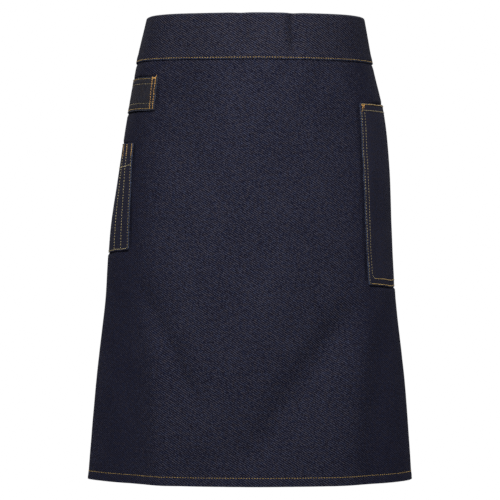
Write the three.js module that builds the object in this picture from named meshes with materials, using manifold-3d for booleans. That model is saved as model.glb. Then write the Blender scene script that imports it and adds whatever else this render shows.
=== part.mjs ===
// A denim waist apron in the shape it has when worn: a skirt panel that hangs from a folded
// waistband round the front and the sides of the body, a patch pocket on the wearer's left hip,
// a pen pocket and a wide towel loop on the right hip, and two ties knotted at the back.
//
// Millimetres, +Z up, the front faces -Y and +X is on the right of someone who looks at it.
// The origin is the middle of the waist, half way up the waistband.
//
// Every cloth piece lies on one draped surface. A place on that surface is given by
//   across: the distance along the cloth from the front centre line, + towards +X,
//   drop:   the distance below the waistband's top edge,
//   out:    the distance outwards from the outer face of the skirt panel.

import * as THREE from "three";
import { mergeVertices } from "three/addons/utils/BufferGeometryUtils.js";
import Module from "manifold-3d";

const wasm = await Module();
wasm.setup();

// Cloth
const CLOTH = 1.0; // one layer of denim
const SEAM_GAP = 0.4; // between pieces that are sewn face to face
const TURNED_EDGE = 1.5; // a pocket's pressed double edge
const TURN = 1.5; // how far a turned edge takes to reach its full thickness

// Panel
const LENGTH = 600; // top edge to hem
const PANEL_WIDTH = 700; // side edge to side edge, along the cloth
const HEM_HEIGHT = 12;
const SIDE_HEM_WIDTH = 12;
const HEM_THICKNESS = 2.6; // three pressed layers

// Waistband
const BAND_HEIGHT = 59;
const SEAM_ALLOWANCE = 12; // how far the panel reaches up between the band's two walls

// The body that the apron is worn on, over the band and the panel
const WAIST_WIDTH = 281.4;
const HEM_WIDTH = 421.9;
const WAIST_FRONT = 98; // from the side line forwards
const HEM_FRONT = 120;
const WAIST_BACK = 97; // from the side line backwards
const SEAT_BACK = 125;
const FOLD_DEPTH = 3;

// Patch pocket
const PATCH_ACROSS = 144; // its front edge, at the mouth
const PATCH_LEAN = 10; // how much further across the front edge is at the bottom
const PATCH_DROP = 113;
const PATCH_WIDTH = 165;
const PATCH_HEIGHT = 233;
const PATCH_MOUTH_HEM = 13;
const PATCH_FULLNESS = 1.5; // how far the middle of the mouth stands away from the panel

// Pen pocket
const PEN_ACROSS = 166.5;
const PEN_LEAN = 5;
const PEN_DROP = 163.5;
const PEN_WIDTH = 120;
const PEN_HEIGHT = 137.5;
const PEN_MOUTH_HEM = 28;
const PEN_FULLNESS = 0.8;

// The other three edges of both pockets
const POCKET_EDGE = 10;

// Towel loop
const LOOP_ACROSS = 124;
const LOOP_LEAN = 5.5;
const LOOP_DROP = 80;
const LOOP_LENGTH = 118;
const LOOP_HEIGHT = 43;
const LOOP_THICKNESS = 1.8; // two pressed layers
const LOOP_SEAM = 11; // how much of each end is sewn flat
const LOOP_FULLNESS = 1.5;

// Ties
const TIE_WIDTH = 25;
const TIE_THICKNESS = 1.0;
const TIE_INSERT = 25; // how far a tie reaches into the end of the band
const TIE_PINCH = 0.55; // its width at the knot, as a share of TIE_WIDTH
const KNOT_WIDTH = 27;
const KNOT_HEIGHT = 24;
const KNOT_DEPTH = 13;
const KNOT_OUT = 3.5; // its middle, outwards from the panel's outer face
const TAIL_LENGTH = 290;
const TAIL_SPREAD = 17; // from the back centre line to the middle of each tail's foot

const BAND_MIDDLE_DROP = BAND_HEIGHT / 2;
const SLOT = CLOTH + 2 * SEAM_GAP; // the space between the band's two walls
const SLOT_MIDDLE = SEAM_GAP - SLOT / 2;

// How the draped surface changes from the waist to the hem. drop is a share of LENGTH. left and
// right are shares of the way from half WAIST_WIDTH to half HEM_WIDTH, front is a share of the way
// from WAIST_FRONT to HEM_FRONT, and back of the way from WAIST_BACK to SEAT_BACK. leftCorner and
// rightCorner say how square (+) or pointed (-) the front is towards that side.
const SECTIONS = [
  { drop: 0.0, left: -0.02, right: 0.02, front: 0.0, back: 0.0, leftCorner: 0.9, rightCorner: 0.35 },
  { drop: 0.098, left: 0.17, right: 0.17, front: 0.15, back: 0.25, leftCorner: 0.9, rightCorner: 0.05 },
  { drop: 0.2, left: 0.33, right: 0.37, front: 0.3, back: 0.7, leftCorner: 0.6, rightCorner: 0.1 },
  { drop: 0.33, left: 0.5, right: 0.485, front: 0.45, back: 1.0, leftCorner: 0.3, rightCorner: 0.15 },
  { drop: 0.45, left: 0.655, right: 0.53, front: 0.55, back: 1.0, leftCorner: 0.1, rightCorner: 0.1 },
  { drop: 0.6, left: 0.76, right: 0.61, front: 0.7, back: 0.92, leftCorner: -0.15, rightCorner: 0.0 },
  { drop: 0.8, left: 0.945, right: 0.793, front: 0.88, back: 0.82, leftCorner: -0.4, rightCorner: -0.1 },
  { drop: 1.0, left: 1.086, right: 0.914, front: 1.0, back: 0.75, leftCorner: -0.52, rightCorner: -0.2 },
];
const BACK_CORNER = 0.15;

// The soft folds of the skirt, each a ridge (+) or a valley (-) from its top to its foot. The
// across columns and width are shares of PANEL_WIDTH, drop of LENGTH and height of FOLD_DEPTH.
const FOLDS = [
  { acrossTop: 0.19, dropTop: 0.5, acrossFoot: -0.03, dropFoot: 1.02, width: 0.032, height: -0.75 },
  { acrossTop: 0.11, dropTop: 0.45, acrossFoot: -0.09, dropFoot: 0.98, width: 0.045, height: 0.5 },
  { acrossTop: 0.22, dropTop: 0.62, acrossFoot: 0.1, dropFoot: 1.25, width: 0.04, height: 0.6 },
  { acrossTop: -0.21, dropTop: 0.5, acrossFoot: -0.14, dropFoot: 0.95, width: 0.022, height: -0.45 },
  { acrossTop: -0.25, dropTop: 0.52, acrossFoot: -0.2, dropFoot: 1.2, width: 0.03, height: 0.55 },
  { acrossTop: 0.42, dropTop: 0.4, acrossFoot: 0.45, dropFoot: 1.3, width: 0.045, height: 2.0 },
  { acrossTop: -0.42, dropTop: 0.4, acrossFoot: -0.45, dropFoot: 1.3, width: 0.045, height: 2.0 },
];
const FOLD_FADE = 0.3; // the share of a fold's length over which it rises or dies away

const DENIM = new THREE.MeshStandardMaterial({ color: 0x22222f, roughness: 0.9, metalness: 0 });

const mix = THREE.MathUtils.lerp;
const clamp = THREE.MathUtils.clamp;
const smooth = (share) => THREE.MathUtils.smoothstep(share, 0, 1);

function evenSteps(from, to, count) {
  return Array.from({ length: count + 1 }, (_, i) => mix(from, to, i / count));
}

// Steps over a length that has a turned edge at each end, with a close pair where it begins.
function stepsWithEdges(from, to, firstEdge, lastEdge, count) {
  const inner = evenSteps(from + firstEdge, to - lastEdge, count);
  return [from, inner[0] - TURN, ...inner, inner[count] + TURN, to];
}

// One column of SECTIONS at a share of LENGTH, by a smooth curve through its rows.
function sectionValue(column, share) {
  const rows = SECTIONS;
  const next = rows.findIndex((row) => row.drop > share);
  const at = next < 0 ? rows.length - 2 : Math.max(next - 1, 0);
  const gap = (k) => rows[k + 1].drop - rows[k].drop;
  const slope = (k) => (rows[k + 1][column] - rows[k][column]) / gap(k);
  const tangent = (k) => {
    if (k === 0) return slope(0);
    if (k === rows.length - 1) return slope(k - 1);
    return (slope(k) * gap(k - 1) + slope(k - 1) * gap(k)) / (gap(k - 1) + gap(k));
  };
  const t = (share - rows[at].drop) / gap(at);
  return (
    (2 * t ** 3 - 3 * t ** 2 + 1) * rows[at][column] +
    (t ** 3 - 2 * t ** 2 + t) * gap(at) * tangent(at) +
    (-2 * t ** 3 + 3 * t ** 2) * rows[at + 1][column] +
    (t ** 3 - t ** 2) * gap(at) * tangent(at + 1)
  );
}

// The plan curve of the draped surface at one drop: points with their distance along the cloth
// from the front centre line, from the back centre line round by -X to the back again.
const HALF_CURVE_STEPS = 240;
const curves = new Map();

function curveAt(drop) {
  const key = drop.toFixed(4);
  if (curves.has(key)) return curves.get(key);
  const value = (column) => sectionValue(column, drop / LENGTH);
  const reach = {
    left: mix(WAIST_WIDTH, HEM_WIDTH, value("left")) / 2,
    right: mix(WAIST_WIDTH, HEM_WIDTH, value("right")) / 2,
    front: mix(WAIST_FRONT, HEM_FRONT, value("front")),
    back: mix(WAIST_BACK, SEAT_BACK, value("back")),
  };
  const corner = { left: value("leftCorner"), right: value("rightCorner") };
  const points = evenSteps(-Math.PI, Math.PI, 2 * HALF_CURVE_STEPS).map((angle) => {
    const side = angle < 0 ? "left" : "right";
    const inFront = Math.cos(angle) > 0;
    const square = 1 + (inFront ? corner[side] : BACK_CORNER) * Math.sin(angle) ** 4;
    return {
      x: reach[side] * Math.sin(angle),
      y: -(inFront ? reach.front : reach.back) * Math.cos(angle) * square,
    };
  });
  let along = 0;
  points.forEach((point, i) => {
    if (i > 0) along += Math.hypot(point.x - points[i - 1].x, point.y - points[i - 1].y);
    point.across = along;
  });
  const middle = points[HALF_CURVE_STEPS].across;
  for (const point of points) point.across -= middle;
  curves.set(key, points);
  return points;
}

// The distance along the cloth to the back centre line, by the side that is -1 or 1.
function acrossAtBack(drop, side) {
  const points = curveAt(drop);
  return side < 0 ? points[0].across : points[points.length - 1].across;
}

function foldHeight(across, drop) {
  let height = 0;
  for (const fold of FOLDS) {
    const along = (drop / LENGTH - fold.dropTop) / (fold.dropFoot - fold.dropTop);
    if (along <= 0 || along >= 1) continue;
    const centre = mix(fold.acrossTop, fold.acrossFoot, along) * PANEL_WIDTH;
    const strength = smooth(along / FOLD_FADE) * smooth((1 - along) / FOLD_FADE);
    const away = (across - centre) / (fold.width * PANEL_WIDTH);
    height += fold.height * FOLD_DEPTH * strength * Math.exp(-away * away);
  }
  return height;
}

// The point at (across, drop) on the draped surface, moved outwards by out.
function onCloth(across, drop, out) {
  const points = curveAt(drop);
  let low = 0;
  let high = points.length - 1;
  while (high - low > 1) {
    const middle = (low + high) >> 1;
    if (points[middle].across <= across) low = middle;
    else high = middle;
  }
  const a = points[low];
  const b = points[high];
  const t = (across - a.across) / (b.across - a.across);
  const directionAt = (i) => {
    const before = points[Math.max(i - 1, 0)];
    const after = points[Math.min(i + 1, points.length - 1)];
    return new THREE.Vector2(after.x - before.x, after.y - before.y).normalize();
  };
  const direction = directionAt(low).lerp(directionAt(high), t).normalize();
  const lift = out + foldHeight(across, drop);
  return new THREE.Vector3(
    mix(a.x, b.x, t) + direction.y * lift,
    mix(a.y, b.y, t) - direction.x * lift,
    BAND_MIDDLE_DROP - drop,
  );
}

function geometryOf(positions, triangles) {
  const geometry = new THREE.BufferGeometry();
  geometry.setAttribute("position", new THREE.Float32BufferAttribute(positions, 3));
  geometry.setIndex(triangles);
  geometry.computeVertexNormals();
  return geometry;
}

function meshOf(name, geometry) {
  const mesh = new THREE.Mesh(geometry, DENIM);
  mesh.name = name;
  return mesh;
}

// A closed solid through rings of points. Each ring is one closed loop whose second half runs back
// along its first, and the first and last rings are filled by quads between those two halves.
function loft(rings) {
  const count = rings[0].length;
  const positions = rings.flat().flatMap((point) => [point.x, point.y, point.z]);
  const triangles = [];
  const quad = (a, b, c, d) => triangles.push(a, b, c, a, c, d);
  for (let i = 0; i + 1 < rings.length; i++) {
    for (let k = 0; k < count; k++) {
      const next = (k + 1) % count;
      quad(i * count + k, i * count + next, (i + 1) * count + next, (i + 1) * count + k);
    }
  }
  const end = (rings.length - 1) * count;
  for (let k = 0; k < count / 2 - 1; k++) {
    const [a, b, c, d] = [k, k + 1, count - 2 - k, count - 1 - k];
    quad(d, c, b, a);
    quad(end + a, end + b, end + c, end + d);
  }
  return geometryOf(positions, triangles);
}

// Cloth over columns, which run towards +across, and rows, which run down. place(column, row)
// gives where they meet and how far out the cloth's two faces are there.
function sheet(columns, rows, place) {
  const rings = columns.map((column) => {
    const places = rows.map((row) => place(column, row));
    const outer = places.map((at) => onCloth(at.across, at.drop, at.outside));
    const inner = places.map((at) => onCloth(at.across, at.drop, at.inside));
    return [...outer, ...inner.reverse()];
  });
  return loft(rings);
}

// The panel and the band share their columns, so that they lie evenly against each other.
const CLOTH_COLUMNS = stepsWithEdges(
  -PANEL_WIDTH / 2,
  PANEL_WIDTH / 2,
  SIDE_HEM_WIDTH,
  SIDE_HEM_WIDTH,
  56,
);

function skirtPanel() {
  const inTheBand = BAND_HEIGHT - SEAM_ALLOWANCE;
  const hemTop = LENGTH - HEM_HEIGHT;
  const sideHem = PANEL_WIDTH / 2 - SIDE_HEM_WIDTH;
  const rows = [inTheBand, ...evenSteps(BAND_HEIGHT, hemTop, 18), hemTop + TURN, LENGTH];
  return sheet(CLOTH_COLUMNS, rows, (across, drop) => {
    const inSideHem = Math.abs(across) > sideHem + TURN / 2 && drop > BAND_HEIGHT;
    const inHem = drop > hemTop + TURN / 2;
    return { across, drop, outside: 0, inside: inSideHem || inHem ? -HEM_THICKNESS : -CLOTH };
  });
}

// One strip folded over at the top, with a slot between its walls for the panel and the ties.
function waistband() {
  const outerFace = SEAM_GAP + CLOTH;
  const foldRadius = outerFace - SLOT_MIDDLE;
  const walls = [BAND_HEIGHT, BAND_HEIGHT - SEAM_ALLOWANCE, BAND_HEIGHT * 0.4, foldRadius];
  // Up one wall, over the fold and down the other, from side -1 (inside) or 1 (outside).
  const path = (radius, side) => [
    ...walls.map((drop) => [SLOT_MIDDLE + side * radius, drop]),
    ...evenSteps(0, Math.PI, 4)
      .slice(1, -1)
      .map((turn) => [
        SLOT_MIDDLE + side * radius * Math.cos(turn),
        foldRadius - radius * Math.sin(turn),
      ]),
    ...walls.toReversed().map((drop) => [SLOT_MIDDLE - side * radius, drop]),
  ];
  const outline = [...path(SLOT / 2, 1), ...path(foldRadius, -1)];
  return loft(CLOTH_COLUMNS.map((across) => outline.map(([out, drop]) => onCloth(across, drop, out))));
}

// A pocket with turned edges. side is -1 or 1, towards -X or +X.
function pocket(side, size) {
  const columns = stepsWithEdges(0, size.width, POCKET_EDGE, POCKET_EDGE, size.columns);
  const rows = stepsWithEdges(0, size.height, size.mouthHem, POCKET_EDGE, size.rows);
  const near = TURN / 2;
  return sheet(side < 0 ? columns.reverse() : columns, rows, (along, down) => {
    const inSideEdge = along < POCKET_EDGE - near || along > size.width - POCKET_EDGE + near;
    const inEndEdge = down < size.mouthHem - near || down > size.height - POCKET_EDGE + near;
    const fullest = Math.sin((Math.PI * along) / size.width) * (1 - (down / size.height) ** 3);
    const outside = SEAM_GAP + TURNED_EDGE + size.fullness * fullest;
    return {
      across: side * (size.across + size.lean * (down / size.height) + along),
      drop: size.drop + down,
      outside,
      inside: outside - (inSideEdge || inEndEdge ? TURNED_EDGE : CLOTH),
    };
  });
}

function patchPocket() {
  return pocket(1, {
    across: PATCH_ACROSS,
    lean: PATCH_LEAN,
    drop: PATCH_DROP,
    width: PATCH_WIDTH,
    height: PATCH_HEIGHT,
    mouthHem: PATCH_MOUTH_HEM,
    fullness: PATCH_FULLNESS,
    columns: 18,
    rows: 7,
  });
}

function penPocket() {
  return pocket(-1, {
    across: PEN_ACROSS,
    lean: PEN_LEAN,
    drop: PEN_DROP,
    width: PEN_WIDTH,
    height: PEN_HEIGHT,
    mouthHem: PEN_MOUTH_HEM,
    fullness: PEN_FULLNESS,
    columns: 12,
    rows: 4,
  });
}

function towelLoop() {
  const free = LOOP_LENGTH - 2 * LOOP_SEAM;
  const columns = [0, ...evenSteps(LOOP_SEAM, LOOP_SEAM + free, 14), LOOP_LENGTH].reverse();
  return sheet(columns, evenSteps(0, LOOP_HEIGHT, 3), (along, down) => {
    const share = clamp((along - LOOP_SEAM) / free, 0, 1);
    const inside = SEAM_GAP + LOOP_FULLNESS * Math.sin(Math.PI * share);
    return {
      across: -(LOOP_ACROSS + LOOP_LEAN * (down / LOOP_HEIGHT) + along),
      drop: LOOP_DROP + down,
      outside: inside + LOOP_THICKNESS,
      inside,
    };
  });
}

// A tie from inside the band's end to the knot, where it is gathered narrower. side is -1 or 1.
function tie(side) {
  const start = PANEL_WIDTH / 2 - TIE_INSERT;
  const columns = evenSteps(0, 1, 8);
  return sheet(side < 0 ? columns.reverse() : columns, evenSteps(-0.5, 0.5, 2), (along, share) => {
    const gathered = smooth((along - 0.4) / 0.6);
    const drop = BAND_MIDDLE_DROP + share * TIE_WIDTH * mix(1, TIE_PINCH, gathered);
    const end = side * acrossAtBack(drop, side) - KNOT_WIDTH / 2 - SEAM_GAP;
    const middle = mix(SLOT_MIDDLE, KNOT_OUT, gathered);
    return {
      across: side * mix(start, end, along),
      drop,
      outside: middle + TIE_THICKNESS / 2,
      inside: middle - TIE_THICKNESS / 2,
    };
  });
}

// One end of the ties, hanging from inside the knot over the seat. The one on side 1 is on top.
function tail(side) {
  const top = BAND_MIDDLE_DROP + KNOT_HEIGHT / 4;
  return sheet(evenSteps(-0.5, 0.5, 2), evenSteps(0, 1, 12), (share, down) => {
    const drop = top + TAIL_LENGTH * down;
    const spread = smooth(4 * down);
    const centre = side * mix(KNOT_WIDTH / 8, TAIL_SPREAD, smooth(down));
    const fromBack = centre + share * TIE_WIDTH * mix(TIE_PINCH, 1, spread);
    const middle = mix(KNOT_OUT, 0, spread) + (side > 0 ? TIE_THICKNESS + SEAM_GAP : 0);
    return {
      across: fromBack > 0 ? acrossAtBack(drop, -1) + fromBack : acrossAtBack(drop, 1) + fromBack,
      drop,
      outside: middle + TIE_THICKNESS / 2,
      inside: middle - TIE_THICKNESS / 2,
    };
  });
}

function solidOf(geometry) {
  const bare = geometry.clone();
  bare.deleteAttribute("normal");
  bare.deleteAttribute("uv");
  const merged = mergeVertices(bare, 1e-4);
  return new wasm.Manifold(
    new wasm.Mesh({
      numProp: 3,
      vertProperties: merged.attributes.position.array,
      triVerts: new Uint32Array(merged.index.array),
    }),
  );
}

// The knot is a barrel with flat ends, which the ties run into, and the tails are one with it.
function tieKnot() {
  const half = KNOT_WIDTH / 2;
  const radius = KNOT_HEIGHT / 2;
  const profile = [
    [0, -half],
    [radius * 0.7, -half],
    [radius * 0.94, -half * 0.7],
    [radius, 0],
    [radius * 0.94, half * 0.7],
    [radius * 0.7, half],
    [0, half],
  ].map(([x, y]) => new THREE.Vector2(x, y));
  const barrel = new THREE.LatheGeometry(profile, 16);
  barrel.rotateZ(Math.PI / 2);
  barrel.scale(1, KNOT_DEPTH / KNOT_HEIGHT, 1);
  const place = onCloth(acrossAtBack(BAND_MIDDLE_DROP, 1), BAND_MIDDLE_DROP, KNOT_OUT);
  barrel.translate(place.x, place.y, place.z);
  const whole = solidOf(barrel).add(solidOf(tail(-1))).add(solidOf(tail(1)));
  const { vertProperties, triVerts } = whole.getMesh();
  return geometryOf(vertProperties, [...triVerts]);
}

const apron = new THREE.Group();
apron.name = "waist_apron";
apron.add(
  meshOf("skirt_panel", skirtPanel()),
  meshOf("waistband", waistband()),
  meshOf("patch_pocket", patchPocket()),
  meshOf("pen_pocket", penPocket()),
  meshOf("towel_loop", towelLoop()),
  meshOf("tie_left", tie(-1)),
  meshOf("tie_right", tie(1)),
  meshOf("tie_knot", tieKnot()),
);

export default apron;
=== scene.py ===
"""The looks of the denim waist apron. Every CAD node is replaced by sewn cloth.

Lengths are in millimetres, as on a sewing pattern, until mesh_object() turns them into metres.
A place on the cloth is given by
    across: the distance along the cloth from the front centre line, + towards +X,
    drop:   the distance below the waistband's top edge,
    out:    the distance outwards from the outer face of the skirt panel.
"""

import math
from functools import partial

import bpy
import numpy as np
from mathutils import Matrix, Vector


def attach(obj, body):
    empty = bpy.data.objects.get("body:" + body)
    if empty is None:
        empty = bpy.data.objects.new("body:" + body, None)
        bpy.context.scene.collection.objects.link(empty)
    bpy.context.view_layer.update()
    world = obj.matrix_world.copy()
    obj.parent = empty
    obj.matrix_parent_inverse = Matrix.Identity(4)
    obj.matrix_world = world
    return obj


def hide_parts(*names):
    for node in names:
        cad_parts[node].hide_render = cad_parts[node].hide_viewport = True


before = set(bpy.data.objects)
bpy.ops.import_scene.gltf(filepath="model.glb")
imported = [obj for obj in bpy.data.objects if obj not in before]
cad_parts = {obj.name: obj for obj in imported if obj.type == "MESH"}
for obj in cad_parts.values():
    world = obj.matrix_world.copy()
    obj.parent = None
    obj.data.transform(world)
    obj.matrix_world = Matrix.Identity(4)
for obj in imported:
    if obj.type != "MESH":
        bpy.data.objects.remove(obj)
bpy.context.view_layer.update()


# Camera
CAMERA_PLACE = (-6.0, -3298, -271.8)
CAMERA_LENS = 181.8
CAMERA_SENSOR = 36


def make_camera():
    data = bpy.data.cameras.new("camera")
    data.lens = CAMERA_LENS
    data.sensor_width = CAMERA_SENSOR
    data.clip_end = 100
    camera = bpy.data.objects.new("camera", data)
    camera.location = [value / 1000 for value in CAMERA_PLACE]
    camera.rotation_euler = (math.radians(90), 0, 0)
    bpy.context.scene.collection.objects.link(camera)
    bpy.context.scene.camera = camera


make_camera()

# Cloth
CLOTH = 1.0
SEAM_GAP = 0.4
TURNED_EDGE = 1.5
EDGE_ROUND = 0.75  # over how much of a cloth's edge its thickness rounds off
# The pale edges within this reach are partly wear and partly painted highlight.
EDGE_WEAR_AND_HIGHLIGHT = 0.9  # how far in from its edge a cloth is worn
EDGE_THICKNESS = 0.3  # the share of the thickness that is left at the very edge

# Panel
LENGTH = 600
PANEL_WIDTH = 700
HEM_HEIGHT = 12
HEM_THICKNESS = 2.6
HEM_STITCH = 11
SIDE_HEM = 12
SIDE_STITCH = 10.5
HEM_STEP = 1.5  # over what distance a turned edge or hem gets its full thickness
PANEL_STEP = 3.4  # between the points of its mesh

# Waistband
BAND_HEIGHT = 59
BAND_MIDDLE = BAND_HEIGHT / 2
SEAM_ALLOWANCE = 12
BAND_STITCH = 57.1
SLOT = CLOTH + 2 * SEAM_GAP
SLOT_MIDDLE = SEAM_GAP - SLOT / 2

# The body that the apron is worn on
WAIST_WIDTH = 281.4
HEM_WIDTH = 421.9
WAIST_FRONT = 98
HEM_FRONT = 120
WAIST_BACK = 97
SEAT_BACK = 125
BACK_CORNER = 0.15
FOLD_DEPTH = 3
FOLD_FADE = 0.3

# drop is a share of LENGTH, and the other columns are shares of the way from the waist's to the
# hem's sizes, as in the CAD model but for slightly rounder front corners near the waist.
SECTION_COLUMNS = ("drop", "left", "right", "front", "back", "left_corner", "right_corner")
SECTIONS = [
    (0.0, -0.02, 0.02, 0.0, 0.0, 0.6, 0.3),
    (0.098, 0.17, 0.17, 0.15, 0.25, 0.7, 0.05),
    (0.2, 0.33, 0.37, 0.3, 0.7, 0.55, 0.1),
    (0.33, 0.5, 0.485, 0.45, 1.0, 0.3, 0.15),
    (0.45, 0.655, 0.53, 0.55, 1.0, 0.1, 0.1),
    (0.6, 0.76, 0.61, 0.7, 0.92, -0.15, 0.0),
    (0.8, 0.945, 0.793, 0.88, 0.82, -0.4, -0.1),
    (1.0, 1.086, 0.914, 1.0, 0.75, -0.52, -0.2),
]

# The soft folds: where each begins and ends and its width, as shares of PANEL_WIDTH (across) and
# LENGTH (drop), and its height as a share of FOLD_DEPTH. A minus is a valley.
FOLD_COLUMNS = ("across_top", "drop_top", "across_foot", "drop_foot", "width", "height")
FOLDS = [
    # The long valley from the patch pocket's foot down to the left, and the crest beside it
    (0.225, 0.56, -0.055, 1.02, 0.045, -3.5),
    (0.228, 0.5, 0.15, 1.1, 0.045, 1.9),
    (0.262, 0.55, 0.2, 1.2, 0.03, -0.8),
    (0.1, 0.42, -0.13, 1.0, 0.045, 1.2),
    # The short valley and the crest on the left
    (-0.235, 0.54, -0.085, 0.88, 0.02, -1.4),
    (-0.195, 0.56, -0.165, 1.15, 0.026, 1.6),
    (-0.262, 0.55, -0.235, 1.2, 0.03, -0.8),
    (-0.165, 0.1, -0.185, 0.72, 0.045, 1.1),
    (-0.1, 0.3, -0.11, 0.86, 0.04, 0.8),
    (-0.23, 0.14, -0.25, 0.66, 0.03, -0.5),
    # Slight drapes over the hips
    (0.15, 0.06, 0.05, 0.36, 0.022, -0.6),
    (-0.13, 0.2, 0.04, 0.52, 0.03, 0.6),
    (0.03, 0.42, 0.2, 0.62, 0.02, -0.6),
    (0.0, -0.1, 0.02, 0.42, 0.035, 0.7),
    # The back corners
    (0.42, 0.4, 0.45, 1.3, 0.045, 2.0),
    (-0.42, 0.4, -0.45, 1.3, 0.045, 2.0),
    # The waistband's dents
    (0.07, -0.04, 0.076, 0.105, 0.012, -2.8),
    (-0.03, -0.04, -0.015, 0.1, 0.012, -1.8),
]

# Patch pocket. lines are the distances of its sewn lines from the front edge.
PATCH = {
    "side": 1,
    "across": 141.7,
    "lean": 11,
    "lean_power": 1.3,
    "drop": 113,
    "width": 165,
    "height": 233,
    "mouth_hem": 13,
    "fullness": 1.5,
    "lines": (1.9, 7.0),
}
PATCH_ROUND = 6.0  # the radius of the inner row's turn at the bottom corner

# Pen pocket
PEN = {
    "side": -1,
    "across": 167.5,
    "lean": 5,
    "lean_power": 1.0,
    "drop": 163.5,
    "width": 120,
    "height": 137.5,
    "mouth_hem": 28,
    "fullness": 0.8,
    "lines": (2.5, 17.5, 34.0, 72.0),
}
PEN_TACK = 17  # how far a line's bar tack reaches down from the mouth

POCKET_EDGE = 10
POCKET_STEP = 2.0  # between the points of its mesh
POCKET_CORNER = 2.5  # the radius of a pocket's corners
POCKET_PROUD = SEAM_GAP + TURNED_EDGE
FOOT_ROW = 2  # the rows of stitches at a pocket's foot, above its lower edge
INNER_FOOT_ROW = 9

# Towel loop
LOOP_ACROSS = 124.8
LOOP_LEAN = 5.5
LOOP_DROP = 80
LOOP_LENGTH = 118
LOOP_HEIGHT = 43
LOOP_THICKNESS = 1.8
LOOP_SEAM = 11
LOOP_FULLNESS = 0.9
LOOP_STEP = 1.8  # between the points of its mesh
LOOP_EDGE_LINES = (2, 9)  # its sewn lines, from its long edges
LOOP_END_LINES = (3, 8.5)  # its sewn lines, from its ends

# The cloth under a pocket or the loop is drawn in, so that the piece lies flush at the sides of
# the apron. How far inwards from the front and back edges that takes, and how far to both sides
# of the top and bottom edges.
PRESS_REACH = 22
PRESS_STEP = 2.5

# A pocket's foot hangs lower away from its front edge: how far, and within what distance.
POCKET_SAG = 3.5
SAG_REACH = 60

# Ties
TIE_WIDTH = 25
TIE_THICKNESS = 1.0
TIE_INSERT = 25
TIE_PINCH = 0.55
KNOT_WIDTH = 27
KNOT_HEIGHT = 24
KNOT_DEPTH = 13
KNOT_OUT = 3.5
TAIL_LENGTH = 290
TAIL_SPREAD = 17
TAIL_HEM = 9
TAIL_STITCH = 8
TIE_LENGTH = 65  # about, from inside the band to the knot
TIE_ROW = 0.42  # from the middle to a row of stitches, as a share of TIE_WIDTH

# Thread
STITCH = 3.4
POCKET_STITCH = 3.7
THREAD_RADIUS = 0.36


def mix(a, b, share):
    return a + (b - a) * share


def smooth(share):
    share = np.clip(share, 0, 1)
    return share * share * (3 - 2 * share)


# From 0 to 1 and back to 0 over a length, with soft ends.
def within(place, length, soft):
    return smooth(place / soft) * smooth((length - place) / soft)


def bell(distance, width):
    return np.exp(-((distance / width) ** 2))


# Waves of random phase, the same in each run. The result is mostly within -1 to 1.
def ripple(place, wavelength, seed):
    rng = np.random.default_rng(seed)
    total = 0
    for stretch in (1.0, 0.71, 1.37, 0.53):
        total = total + np.sin(2 * np.pi * (place / (wavelength * stretch) + rng.random()))
    return total / 2.2


def undulation(across, drop, wavelength, seed, waves=9):
    rng = np.random.default_rng(seed)
    total = 0
    for _ in range(waves):
        angle = rng.random() * np.pi
        length = wavelength * (0.7 + 0.8 * rng.random())
        along = across * math.cos(angle) + drop * math.sin(angle)
        total = total + np.sin(2 * np.pi * (along / length + rng.random()))
    return total / math.sqrt(waves)


# The draped surface, as a table over drop and across
DROP_FROM = -8
DROP_STEP = 2
DROP_ROWS = 312
ACROSS_REACH = 620
CURVE_STEPS = 960


def section_values(share):
    table = np.array(SECTIONS)
    drops = table[:, 0]
    rows = table[:, 1:]
    gaps = np.diff(drops)
    slopes = np.diff(rows, axis=0) / gaps[:, None]
    weighted = slopes[1:] * gaps[:-1, None] + slopes[:-1] * gaps[1:, None]
    tangents = weighted / (gaps[:-1] + gaps[1:])[:, None]
    tangents = np.concatenate([slopes[:1], tangents, slopes[-1:]])
    at = int(np.clip(np.searchsorted(drops, share, side="right") - 1, 0, len(gaps) - 1))
    t = (share - drops[at]) / gaps[at]
    values = (
        (2 * t**3 - 3 * t**2 + 1) * rows[at]
        + (t**3 - 2 * t**2 + t) * gaps[at] * tangents[at]
        + (3 * t**2 - 2 * t**3) * rows[at + 1]
        + (t**3 - t**2) * gaps[at] * tangents[at + 1]
    )
    return dict(zip(SECTION_COLUMNS[1:], values))


def plan_curve(drop):
    value = section_values(drop / LENGTH)
    angle = np.linspace(-np.pi, np.pi, CURVE_STEPS + 1)
    left = angle < 0
    in_front = np.cos(angle) > 0
    reach = mix(WAIST_WIDTH, HEM_WIDTH, np.where(left, value["left"], value["right"])) / 2
    front = mix(WAIST_FRONT, HEM_FRONT, value["front"])
    back = mix(WAIST_BACK, SEAT_BACK, value["back"])
    corner = np.where(left, value["left_corner"], value["right_corner"])
    square = 1 + np.where(in_front, corner, BACK_CORNER) * np.sin(angle) ** 4
    x = reach * np.sin(angle)
    y = -np.where(in_front, front, back) * np.cos(angle) * square
    along = np.concatenate([[0], np.cumsum(np.hypot(np.diff(x), np.diff(y)))])
    return x, y, along - along[CURVE_STEPS // 2]


# Columns: x, y, and the outward direction's x and y. Past the back centre line, which is where
# "back" is, the surface goes on round the other side.
def draped_surface():
    grid = np.arange(-ACROSS_REACH, ACROSS_REACH + 1)
    table = np.empty((DROP_ROWS, len(grid), 4))
    back = np.empty(DROP_ROWS)
    for row in range(DROP_ROWS):
        x, y, across = plan_curve(DROP_FROM + DROP_STEP * row)
        round_it = across[-1] - across[0]
        longer = np.concatenate([across[:-1] - round_it, across, across[1:] + round_it])
        table[row, :, 0] = np.interp(grid, longer, np.concatenate([x[:-1], x, x[1:]]))
        table[row, :, 1] = np.interp(grid, longer, np.concatenate([y[:-1], y, y[1:]]))
        along_x = np.gradient(table[row, :, 0])
        along_y = np.gradient(table[row, :, 1])
        length = np.hypot(along_x, along_y)
        table[row, :, 2] = along_y / length
        table[row, :, 3] = -along_x / length
        back[row] = across[-1]
    return table, back


SURFACE, BACK = draped_surface()


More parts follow.
